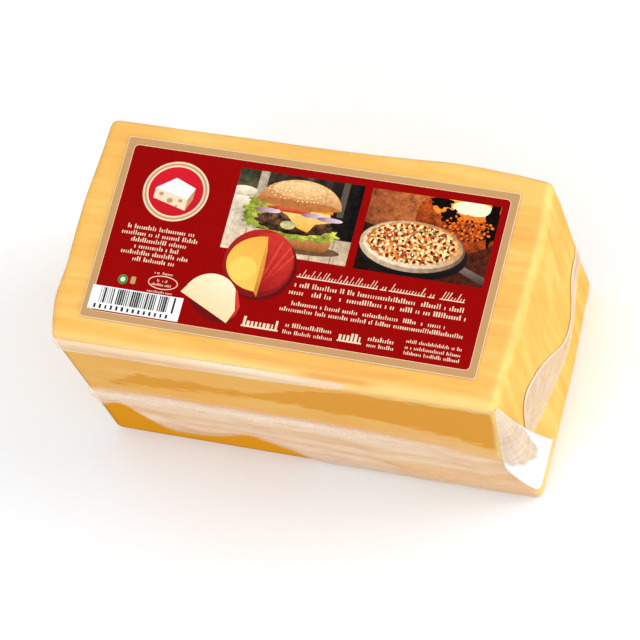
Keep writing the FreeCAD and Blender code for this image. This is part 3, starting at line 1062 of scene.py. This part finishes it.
def flat_ink(finish, *channels):
    """An ink that has a finish of its own."""
    return Ink(channels, mottle=0.0, finish=finish)


GOLD = flat_ink("label_gold", 206, 166, 110)
PALE = flat_ink("label_cream", 248, 232, 200)
RED = flat_ink("label_red", 166, 8, 12)
CREAM = flat_ink("label_cream", 250, 222, 190)
PLAIN_WHITE = flat_ink("label_white", 252, 252, 252)
BLACK = flat_ink("label_black", 24, 20, 18)


class Print:
    """The label's shapes, in the order that they are laid down, on a sheet of its own size in mm."""

    half_x = 66.9
    half_y = 32.3

    def __init__(self):
        self.fields = []
        self.seed = 0

    def lay(self, outline, ink, within=None):
        """Lay one shape down. With within, it shows only inside that earlier shape."""
        self.fields.append((outline, ink, within))
        return len(self.fields) - 1

    def lay_drawn(self, tree, values, x, y, ink, within=None):
        """Lay down all that a tree draws, with a seed of its own."""
        self.seed += 1
        # A row without joins draws them with no height, and those are left out.
        for outline in drawn(tree, {**values, "Seed": self.seed}, x, y):
            if abs(signed_area(outline)) > 1e-6:
                self.lay(outline, ink, within)

    def row(self, x, y, wide, tall, ink=CREAM, pitch=None, gaps=0.13, slant=0.0, low=0.64, full=0.3,
            widths=(0.35, 0.6), join=0.0, within=None):
        """One row of strokes about a middle point."""
        self.lay_drawn(row_tree(), {
            "Length": wide, "Tall": tall, "Pitch": pitch or tall * 0.5, "Gap Share": gaps,
            "Low Height": low, "Full Share": full, "Least Width": widths[0], "Most Width": widths[1],
            "Slant": math.radians(slant), "Join": join}, x, y, ink, within)


class Place:
    """A place on the print. Shapes are laid from its origin, and inside its frame if it has one."""

    def __init__(self, sheet, x, y, frame=None):
        self.sheet = sheet
        self.x = x
        self.y = y
        self.frame = frame

    def lay(self, outline, *ink, within=None, **more):
        """Lay one shape in an ink, or in the colours of a new one."""
        made = ink[0] if isinstance(ink[0], Ink) else Ink(*ink, **more)
        moved = [(self.x + x, self.y + y) for x, y in outline]
        return self.sheet.lay(moved, made, self.frame if within is None else within)

    def scatter(self, x, y, reach_x, reach_y, apart, spot, stretch, colour, within=None):
        values = {"Reach X": reach_x, "Reach Y": reach_y, "Apart": apart, "Size": spot, "Stretch": stretch}
        self.sheet.lay_drawn(scatter_tree(), values, self.x + x, self.y + y, Ink(colour),
                             self.frame if within is None else within)


def picture(sheet, x, y, wide, tall, *ink):
    """A picture's ground, and its place from the lower left corner."""
    return Place(sheet, x - wide / 2, y - tall / 2, sheet.lay(box(x, y, wide, tall), Ink(*ink)))


# ---------------------------------------------------------------- the print

def ground(sheet, border):
    """Gold border, its two pale lines and the red field."""
    line = 0.35
    wide, tall = sheet.half_x * 2, sheet.half_y * 2
    for inset, radius, ink in ((0.0, 1.0, PALE), (line, 0.9, GOLD), (2 * border - line, 1.7, PALE),
                               (2 * border, 1.5, RED)):
        sheet.lay(rounded_box(0, 0, wide - inset, tall - inset, radius), ink)


def emblem(sheet):
    """A plain medallion: two rings round a wedge of holed cheese."""
    lay = Place(sheet, -46.3, 15.3).lay
    for reach, ink in ((11.2, CREAM), (10.6, GOLD), (9.9, CREAM)):
        lay(oval(0, 0, reach, reach - 0.6, steps=48), ink)
    badge = lay(oval(0, 0, 9.3, 8.7, steps=48), (200, 14, 30), (214, 18, 40), mottle=0.05)
    lay([(-7.0, 0.4), (4.6, -2.2), (6.4, 2.0), (-0.8, 4.8)], PLAIN_WHITE, within=badge)
    lay([(-7.0, 0.4), (-7.0, -3.2), (4.6, -6.2), (4.6, -2.2)], CREAM, within=badge)
    lay([(4.6, -2.2), (4.6, -6.2), (6.4, -1.9), (6.4, 2.0)], GOLD, within=badge)
    for x, y, reach in ((-4.6, -1.5, 0.8), (-1.2, -3.4, 1.1), (2.3, -3.0, 0.75), (1.4, -5.0, 0.5)):
        lay(oval(x, y, reach, reach * 0.85, steps=12), GOLD, within=badge)


def small_print(sheet):
    """Rows of strokes where a label has its small print."""
    row = sheet.row
    for index, wide in enumerate((24.0, 27.0, 19.5, 16.0, 24.0, 15.0)):
        row(-46.8, 1.3 - 2.22 * index, wide, 1.55)
    sheet.lay(oval(-55.7, -17.6, 1.7, 1.7, steps=20), Ink((70, 140, 60), mottle=0.2))
    sheet.lay(oval(-55.7, -17.6, 0.8, 0.8, steps=14), PLAIN_WHITE)
    sheet.lay(rounded_box(-52.2, -17.4, 1.7, 2.6, 0.4), GOLD)
    sheet.lay(oval(-42.1, -16.7, 5.1, 2.4, steps=36), CREAM)
    inside = sheet.lay(oval(-42.1, -16.7, 4.8, 2.1, steps=36), RED)
    for y, wide, tall, within in ((-16.1, 4.0, 0.9, inside), (-17.5, 7.0, 0.9, inside),
                                  (-13.5, 7.0, 0.9, None), (-20.0, 9.0, 0.8, None)):
        row(-42.1, y, wide, tall, within=within)
    row(30.0, -6.0, 56.5, 3.1, pitch=1.0, gaps=0.11, slant=20.0, low=0.45, full=0.28,
        widths=(0.2, 0.36), join=0.11)
    for x, y, wide, tall in ((30.0, -10.0, 57.0, 1.7), (30.0, -12.7, 59.5, 1.7), (28.0, -16.5, 52.0, 1.5),
                             (29.6, -18.8, 62.0, 1.5), (10.0, -24.1, 16.0, 1.5), (10.0, -26.5, 17.0, 1.3),
                             (34.5, -24.3, 9.4, 1.6), (34.5, -26.5, 9.4, 1.3), (51.7, -23.1, 19.0, 1.2),
                             (51.7, -25.2, 19.0, 1.2), (51.7, -27.1, 19.0, 1.2)):
        row(x, y, wide, tall)
    row(-5.7, -25.2, 12.4, 3.6, pitch=1.35, gaps=0.1, low=0.6, full=0.45, widths=(0.4, 0.75), join=0.16)
    row(24.6, -25.2, 8.4, 3.2, pitch=1.3, gaps=0.0, low=0.75, full=0.5, widths=(0.4, 0.75), join=0.16)


def bar_panel(sheet):
    """A white panel of bars with a row of small blocks under them."""
    panel = sheet.lay(box(-49.4, -25.0, 31.2, 8.3), PLAIN_WHITE)
    sheet.row(-48.6, -23.9, 26.2, 5.4, BLACK, pitch=0.72, gaps=0.1, low=1.0, widths=(0.25, 0.95),
              within=panel)
    sheet.row(-49.0, -27.9, 27.4, 1.5, BLACK, pitch=1.9, gaps=0.0, low=0.9, widths=(0.3, 0.42),
              within=panel)


def sandwich_picture(sheet):
    """A filled round bun on a table."""
    wide, tall = 42.5, 28.4
    here = picture(sheet, -5.3, 12.8, wide, tall, (70, 58, 44), (20, 18, 18), 0.0, 0.7)
    lay = here.lay
    # A room behind a table: a pale wall, a dark panel, three posts and two plates.
    lay(box(5, tall / 2 + 3, 10, tall), (222, 208, 186), (168, 150, 128), 0.0, 0.5)
    lay(box(2.5, 25.5, 9, 7), (92, 84, 56), (40, 44, 30), 90.0, 0.8)
    for x, grey in ((24.0, 84), (30.5, 64), (36.5, 92)):
        lay(box(x, tall / 2 + 9, 2.2, 14), (grey, grey - 14, grey - 26))
    for x, y, reach in ((3.0, 21.0, 4.4), (2.0, 17.5, 4.8)):
        lay(oval(x, y, reach, 1.5, steps=18), (226, 206, 178), (248, 236, 214))
    lay(box(wide / 2, 4.2, wide, 8.4), (232, 212, 184), (190, 164, 132), 60.0, 0.5)
    for x in (7, 19, 30, 37):
        lay(box(x, 4.0, 0.35, 8.0), (150, 116, 84))
    # The bun's lower half with leaves and meat on it.
    bun = wide / 2 + 1.0
    lay(oval(bun + 2.0, 3.6, 15.5, 2.0, steps=24), (110, 76, 50), mottle=0.4)
    lay(rounded_box(bun + 1.5, 6.0, 24.0, 5.4, 2.5), (150, 84, 38), (214, 146, 84))
    greens = Ink((112, 136, 30), (206, 204, 84), 60.0, 0.9)
    for x, y, reach_x, reach_y, turn in ((-12.4, 14.6, 5.6, 3.2, 0.0), (-13.0, 11.4, 4.6, 2.4, 1.0),
                                         (9.0, 9.2, 6.4, 2.6, 2.0), (2.0, 8.2, 6.4, 1.9, 0.6),
                                         (-6.0, 9.6, 5.4, 1.8, 1.6)):
        lay(frilled(bun + x, y, reach_x, reach_y, 9, 0.14, turn), greens)
    lay(frilled(bun, 12.0, 13.2, 3.9, 14, 0.05), (44, 26, 18), (120, 80, 54), 90.0, 1.8)
    # Cheese, tomato, pickle and onion.
    slice_of_cheese = ((-8, 16.4), (-3, 14.4), (1, 10.6), (5.0, 9.4), (7, 12.6), (12.4, 14.0), (11, 16.8))
    lay([(bun + x, y) for x, y in slice_of_cheese], (238, 168, 58), (255, 216, 128), 90.0, 0.3)
    lay(oval(bun - 2.0, 11.0, 2.6, 1.5, steps=14), (196, 184, 130), mottle=0.6)
    for x, y in ((-8.6, 17.2), (-1.0, 16.6)):
        lay(rounded_box(bun + x, y, 10.6, 2.4, 1.1), (176, 44, 18), (236, 118, 66))
    lay(box(bun + 8.2, 18.4, 7.4, 3.4), (222, 132, 24), (250, 178, 62))
    for x, y in ((-9.8, 15.2), (5.8, 15.4), (11.4, 14.8)):
        lay(oval(bun + x, y, 4.4, 0.85, steps=16), (142, 76, 118), (238, 214, 224), 0.0)
    lay(frilled(bun - 12.4, 18.0, 4.4, 1.9, 9, 0.16), greens)
    # The bun's crown with its seeds.
    lay(oval(bun, 18.2, 14.4, 9.0, 0.0, 180.0, 28), (176, 98, 42), (240, 190, 124), 80.0, 0.35)
    lay(oval(bun, 18.5, 14.2, 1.5, steps=24), (186, 112, 54), mottle=0.4)
    lay(oval(bun - 1.0, 23.4, 9.0, 2.9, steps=24), (226, 168, 98), (246, 206, 148), 90.0, 0.3)
    here.scatter(bun - 0.5, 23.0, 11.0, 3.4, 1.1, 0.2, 1.6, (252, 230, 188))


def oven_picture(sheet):
    """A round flat bread with toppings, in front of a glowing oven."""
    wide = 43.2
    here = picture(sheet, 40.2, 12.6, wide, 28.4, (28, 14, 10), (96, 36, 16), 40.0, 0.9)
    lay = here.lay
    for x, y, reach_x, reach_y, steps, *ink in (
            (9, 25, 19.0, 9.6, 30, (116, 50, 20), (206, 116, 60), 10.0, 0.8),
            (31, 22.0, 15.0, 11.5, 30, (120, 36, 8), (208, 92, 20), 70.0, 1.2),
            (31.5, 25.6, 10.8, 4.2, 26, (226, 100, 10), (255, 190, 70), 90.0, 0.6),
            (34, 26.2, 6.8, 2.5, 22, (255, 246, 206), None, 90.0, 0.15)):
        lay(oval(x, y, reach_x, reach_y, steps=steps), *ink)
    for x, y, reach_x, reach_y in ((23.5, 27.2, 3.6, 2.2), (27.2, 22.6, 3.0, 2.6), (41.4, 22.0, 2.4, 7.5)):
        lay(frilled(x, y, reach_x, reach_y, 7, 0.18), (24, 12, 10), mottle=0.5)
    here.scatter(34, 19.6, 8.0, 4.2, 1.2, 0.42, 1.4, (244, 116, 22))
    here.scatter(34, 18.6, 7.0, 3.4, 1.6, 0.4, 1.4, (54, 16, 8))
    lay([(28, 9.0), (30, 6.0), (wide, 0.6), (wide, 3.4)], (58, 46, 44), (150, 128, 118))
    # The pan, the crust and the toppings.
    x, y = 17.4, 11.2
    lay(oval(x + 1.0, y - 3.0, 18.0, 8.8, steps=40), (22, 18, 20), (48, 38, 40))
    lay(oval(x, y - 0.9, 17.6, 8.8, steps=44), (214, 184, 150), (120, 84, 58), 20.0, 0.5)
    lay(oval(x + 0.2, y - 0.2, 16.6, 8.0, steps=40), (244, 226, 196), (176, 124, 78), 60.0, 0.5)
    base = lay(frilled(x, y + 0.2, 15.4, 7.1, 19, 0.03), (206, 122, 40), (236, 164, 84), 45.0, 1.2)
    for reach, apart, spot, stretch, tone in (
            (14.0, 1.9, 0.9, 1.6, (214, 106, 40)), (14.2, 1.3, 0.55, 1.7, (250, 218, 150)),
            (13.6, 2.3, 0.6, 1.4, (178, 48, 24)), (13.8, 1.6, 0.4, 1.5, (66, 34, 26)),
            (13.0, 2.2, 0.36, 1.6, (255, 238, 200)), (12.0, 3.4, 0.42, 1.7, (104, 98, 40))):
        here.scatter(x, y + 0.1, reach, reach * 0.46, apart, spot, stretch, tone, base)


def waxed_ball(sheet):
    """A waxed ball of cheese with a piece cut out."""
    lay = Place(sheet, -12.5, -4.9).lay
    reach = 11.9
    lay(oval(1.2, -1.0, reach, reach, steps=40), (104, 4, 8), mottle=0.1)
    ball = lay(oval(0, 0, reach, reach, steps=56), (128, 10, 12), (186, 34, 26), 75.0, 0.2)
    lay(oval(2.4, 0.8, reach * 0.74, reach * 0.86, steps=40), (158, 18, 18), (206, 48, 38), 60.0, 0.25,
        within=ball)
    for x, reach_y in ((4.0, 8.6), (6.4, 7.4), (8.6, 5.4)):
        lay(oval(x, 0.8, 0.45, reach_y, steps=20, turn=-4.0 * x), (196, 40, 30), (222, 76, 56),
            mottle=0.3, within=ball)
    top, low = (0.9, reach * 0.8), (0.9, -reach * 0.83)
    face = lay([top, *oval(0.9, -0.2, 11.6, 9.6, 100.0, 165.0, 26), low],
               (250, 198, 88), (240, 172, 66), 60.0, 0.08, within=ball)
    lay(oval(-4.6, -2.6, 4.6, 4.2, steps=20), (252, 206, 98), mottle=0.05, within=face)
    lay([top, low, (2.2, -reach * 0.98), (2.4, -2.0), (1.9, 4.8)], (206, 132, 40), (230, 164, 66),
        within=ball)


def cheese_wedge(sheet):
    """A wedge of the cheese with its rind, and the shadow under it."""
    lay = Place(sheet, -25.6, -19.0).lay
    lay(oval(1.6, -2.0, 9.6, 5.4, steps=24, turn=-26.0), (112, 4, 8), mottle=0.1)
    lay([(5.6, 5.4), (8.8, 3.6), (10.9, -1.6), (10.2, -5.0), (7.6, -7.8)],
        (170, 24, 22), (222, 66, 50), 60.0, 0.1)
    lay([(-9.9, 0.4), *oval(0.2, -1.0, 9.4, 9.2, 168.0, -122.0, 20, turn=-12.0), (9.6, -3.4), (7.8, -7.9)],
        (244, 214, 166), (254, 234, 198), 70.0, 0.06)


def inlay(fields):
    """Cut the label's face along every outline. Each triangle comes with the shape on top of it."""
    points, faces = [], []
    for outline, _, _ in fields:
        places = list(range(len(points), len(points) + len(outline)))
        faces.append(places if signed_area(outline) > 0.0 else places[::-1])
        points.extend(Vector(point) for point in outline)
    cut, _, triangles, _, _, owners = geometry.delaunay_2d_cdt(points, [], faces, 1, 1e-4)
    kept = []
    for triangle, owner in zip(triangles, owners):
        on_top = [i for i in sorted(owner, reverse=True)
                  if fields[i][2] is None or fields[i][2] in owner]
        if on_top:
            kept.append((triangle, on_top[0]))
    return cut, kept


def label_finishes():
    chosen = settings().label
    return [print_material("label_red", chosen.red, 0.34, 0.035),
            print_material("label_gold", chosen.gold, 0.38, 0.4),
            print_material("label_white", (0.94, 0.94, 0.93, 1.0), 0.5, 0.3, variation=0.03),
            print_material("label_cream", chosen.cream, 0.45, 0.3, variation=0.06),
            print_material("label_black", (0.012, 0.010, 0.009, 1.0), 0.5, 0.3),
            picture_material()]


def printed_face(grid, fields, names):
    """The label's face with its inks, fitted to the label's box in the CAD."""
    points, triangles = inlay(fields)
    middle = (LABEL_LOW + LABEL_HIGH) / 2 / MM
    half = (LABEL_HIGH - LABEL_LOW) / 2 / MM
    fit_x, fit_y = half.x / Print.half_x, half.y / Print.half_y
    ink_layer = grid.loops.layers.float_color.new("ink")
    mottle_layer = grid.faces.layers.float.new("mottle")
    made = [grid.verts.new(((x * fit_x + middle.x) * MM, (y * fit_y + middle.y) * MM, LABEL_HIGH.z))
            for x, y in points]
    for triangle, field in triangles:
        outline, ink, _ = fields[field]
        face = grid.faces.new([made[i] for i in triangle])
        face.material_index = names.index(ink.finish)
        face[mottle_layer] = ink.mottle
        for loop, index in zip(face.loops, triangle):
            loop[ink_layer] = ink.at(points[index], outline)


def close_below(grid, level, paper):
    """Give the face its rim and its flat underside, in the material of plain paper."""
    grown = bmesh.ops.extrude_edge_only(grid, edges=[edge for edge in grid.edges if edge.is_boundary])
    lower = [item for item in grown["geom"] if isinstance(item, bmesh.types.BMVert)]
    for vert in lower:
        vert.co.z = level
    rim = [item for item in grown["geom"] if isinstance(item, bmesh.types.BMEdge)]
    base = bmesh.ops.contextual_create(grid, geom=rim)
    for face in grid.faces:
        if face in base["faces"] or abs(face.normal.z) < 0.5:
            face.material_index = paper
    loose = [vert for vert in grid.verts if not vert.link_faces]
    bmesh.ops.delete(grid, geom=loose, context="VERTS")
    bmesh.ops.recalc_face_normals(grid, faces=grid.faces)


def make_label():
    sheet = Print()
    ground(sheet, settings().label.border / MM)
    for draw in (emblem, small_print, bar_panel, sandwich_picture, oven_picture, waxed_ball, cheese_wedge):
        draw(sheet)
    finishes = label_finishes()
    names = [material.name for material in finishes]
    grid = bmesh.new()
    printed_face(grid, sheet.fields, names)
    close_below(grid, LABEL_LOW.z, names.index("label_white"))
    piece = new_piece("label_print")
    grid.to_mesh(piece.data)
    grid.free()
    for material in finishes:
        piece.data.materials.append(material)
    keep(piece, "label", "label")


# ---------------------------------------------------------------- the stage

def make_floor():
    corners = [(-3, -3, 0), (3, -3, 0), (3, 3, 0), (-3, 3, 0)]
    floor = new_piece("floor", corners, [(0, 1, 2, 3)])
    material = bpy.data.materials.new("floor")
    material.use_nodes = True
    feed(material.node_tree.nodes["Principled BSDF"],
         {"Base Color": settings().stage.floor, "Roughness": 0.9, "Specular IOR Level": 0.1})
    floor.data.materials.append(material)
    floor.visible_glossy = False


def make_lamp(name, place, wide, tall, power, reflects):
    """A soft lamp that points at the block's middle."""
    lamp = bpy.data.lights.new(name, "AREA")
    lamp.shape = "RECTANGLE"
    lamp.size = wide
    lamp.size_y = tall
    lamp.energy = power
    holder = bpy.data.objects.new(name, lamp)
    holder.location = place
    holder.rotation_euler = (Vector(MIDDLE) - Vector(place)).to_track_quat("-Z", "Y").to_euler()
    holder.visible_glossy = reflects
    bpy.context.scene.collection.objects.link(holder)


def make_sky(strength):
    """Even white light from all round, which gloss doesn't mirror."""
    world = bpy.data.worlds.new("sky")
    bpy.context.scene.world = world
    world.use_nodes = True
    feed(world.node_tree.nodes["Background"], {"Color": WHITE, "Strength": strength})
    world.cycles_visibility.glossy = False


def make_camera():
    chosen = settings().stage
    camera = bpy.data.cameras.new("camera")
    camera.lens = chosen.focal
    camera.sensor_width = 36.0
    holder = bpy.data.objects.new("camera", camera)
    bpy.context.scene.collection.objects.link(holder)
    back = Vector((math.sin(chosen.azimuth) * math.cos(chosen.elevation),
                   -math.cos(chosen.azimuth) * math.cos(chosen.elevation),
                   math.sin(chosen.elevation)))
    target = Vector(MIDDLE) + Vector(LOOK_PAST)
    turn = back.to_track_quat("Z", "Y").to_matrix() @ Matrix.Rotation(-chosen.roll, 3, "Z")
    holder.matrix_world = Matrix.Translation(target + back * chosen.distance) @ turn.to_4x4()
    bpy.context.scene.camera = holder


def make_stage():
    chosen = settings().stage
    make_floor()
    make_lamp("key", (2.0, 0.95, 2.0), 1.3, 1.3, chosen.key, True)
    make_lamp("front_fill", (-0.9, -3.4, 1.1), 1.6, 1.6, chosen.front, False)
    make_lamp("side_fill", (3.2, 0.6, 0.6), 1.4, 1.0, chosen.side, False)
    make_sky(chosen.sky)
    make_camera()
    bpy.context.scene.view_settings.view_transform = "Standard"


# ---------------------------------------------------------------- operators and panel

class MakeStage(bpy.types.Operator):
    """Make the floor, the light and the camera"""
    bl_idname = "cheese_pack.make_stage"
    bl_label = "Stage"

    def execute(self, context):
        make_stage()
        return {"FINISHED"}


class MakeCheese(bpy.types.Operator):
    """Make the block of cheese"""
    bl_idname = "cheese_pack.make_cheese"
    bl_label = "Cheese Block"

    def execute(self, context):
        make_cheese()
        return {"FINISHED"}


class MakeFilm(bpy.types.Operator):
    """Make the film bag with its loose front, its seal fin and its corner fold"""
    bl_idname = "cheese_pack.make_film"
    bl_label = "Film Bag, Fin and Fold"

    def execute(self, context):
        make_film()
        make_fin()
        make_fold()
        return {"FINISHED"}


class MakeLabel(bpy.types.Operator):
    """Make the printed label"""
    bl_idname = "cheese_pack.make_label"
    bl_label = "Printed Label"

    def execute(self, context):
        make_label()
        return {"FINISHED"}


OPERATORS = (MakeStage, MakeCheese, MakeFilm, MakeLabel)


class CheesePanel(bpy.types.Panel):
    """Settings and operators of the wrapped cheese block"""
    bl_idname = "VIEW3D_PT_cheese_pack"
    bl_label = "Wrapped Cheese Block"
    bl_space_type = "VIEW_3D"
    bl_region_type = "UI"
    bl_category = "Cheese"

    def draw(self, context):
        for name in ("stage", "cheese", "film", "label"):
            group = getattr(context.scene.cheese_pack, name)
            column = self.layout.column(align=True)
            for prop in group.bl_rna.properties:
                if prop.identifier not in ("name", "rna_type"):
                    column.prop(group, prop.identifier)
        for operator in OPERATORS:
            self.layout.operator(operator.bl_idname)


CLASSES = (CheeseSettings, FilmSettings, LabelSettings, StageSettings, CheeseScene,
           *OPERATORS, CheesePanel)


def register():
    for item in CLASSES:
        bpy.utils.register_class(item)
    bpy.types.Scene.cheese_pack = bpy.props.PointerProperty(type=CheeseScene)


def unregister():
    del bpy.types.Scene.cheese_pack
    for item in reversed(CLASSES):
        bpy.utils.unregister_class(item)


def main():
    register()
    bpy.ops.cheese_pack.make_stage()
    bpy.ops.cheese_pack.make_cheese()
    bpy.ops.cheese_pack.make_film()
    bpy.ops.cheese_pack.make_label()


if __name__ == "__main__":
    main()
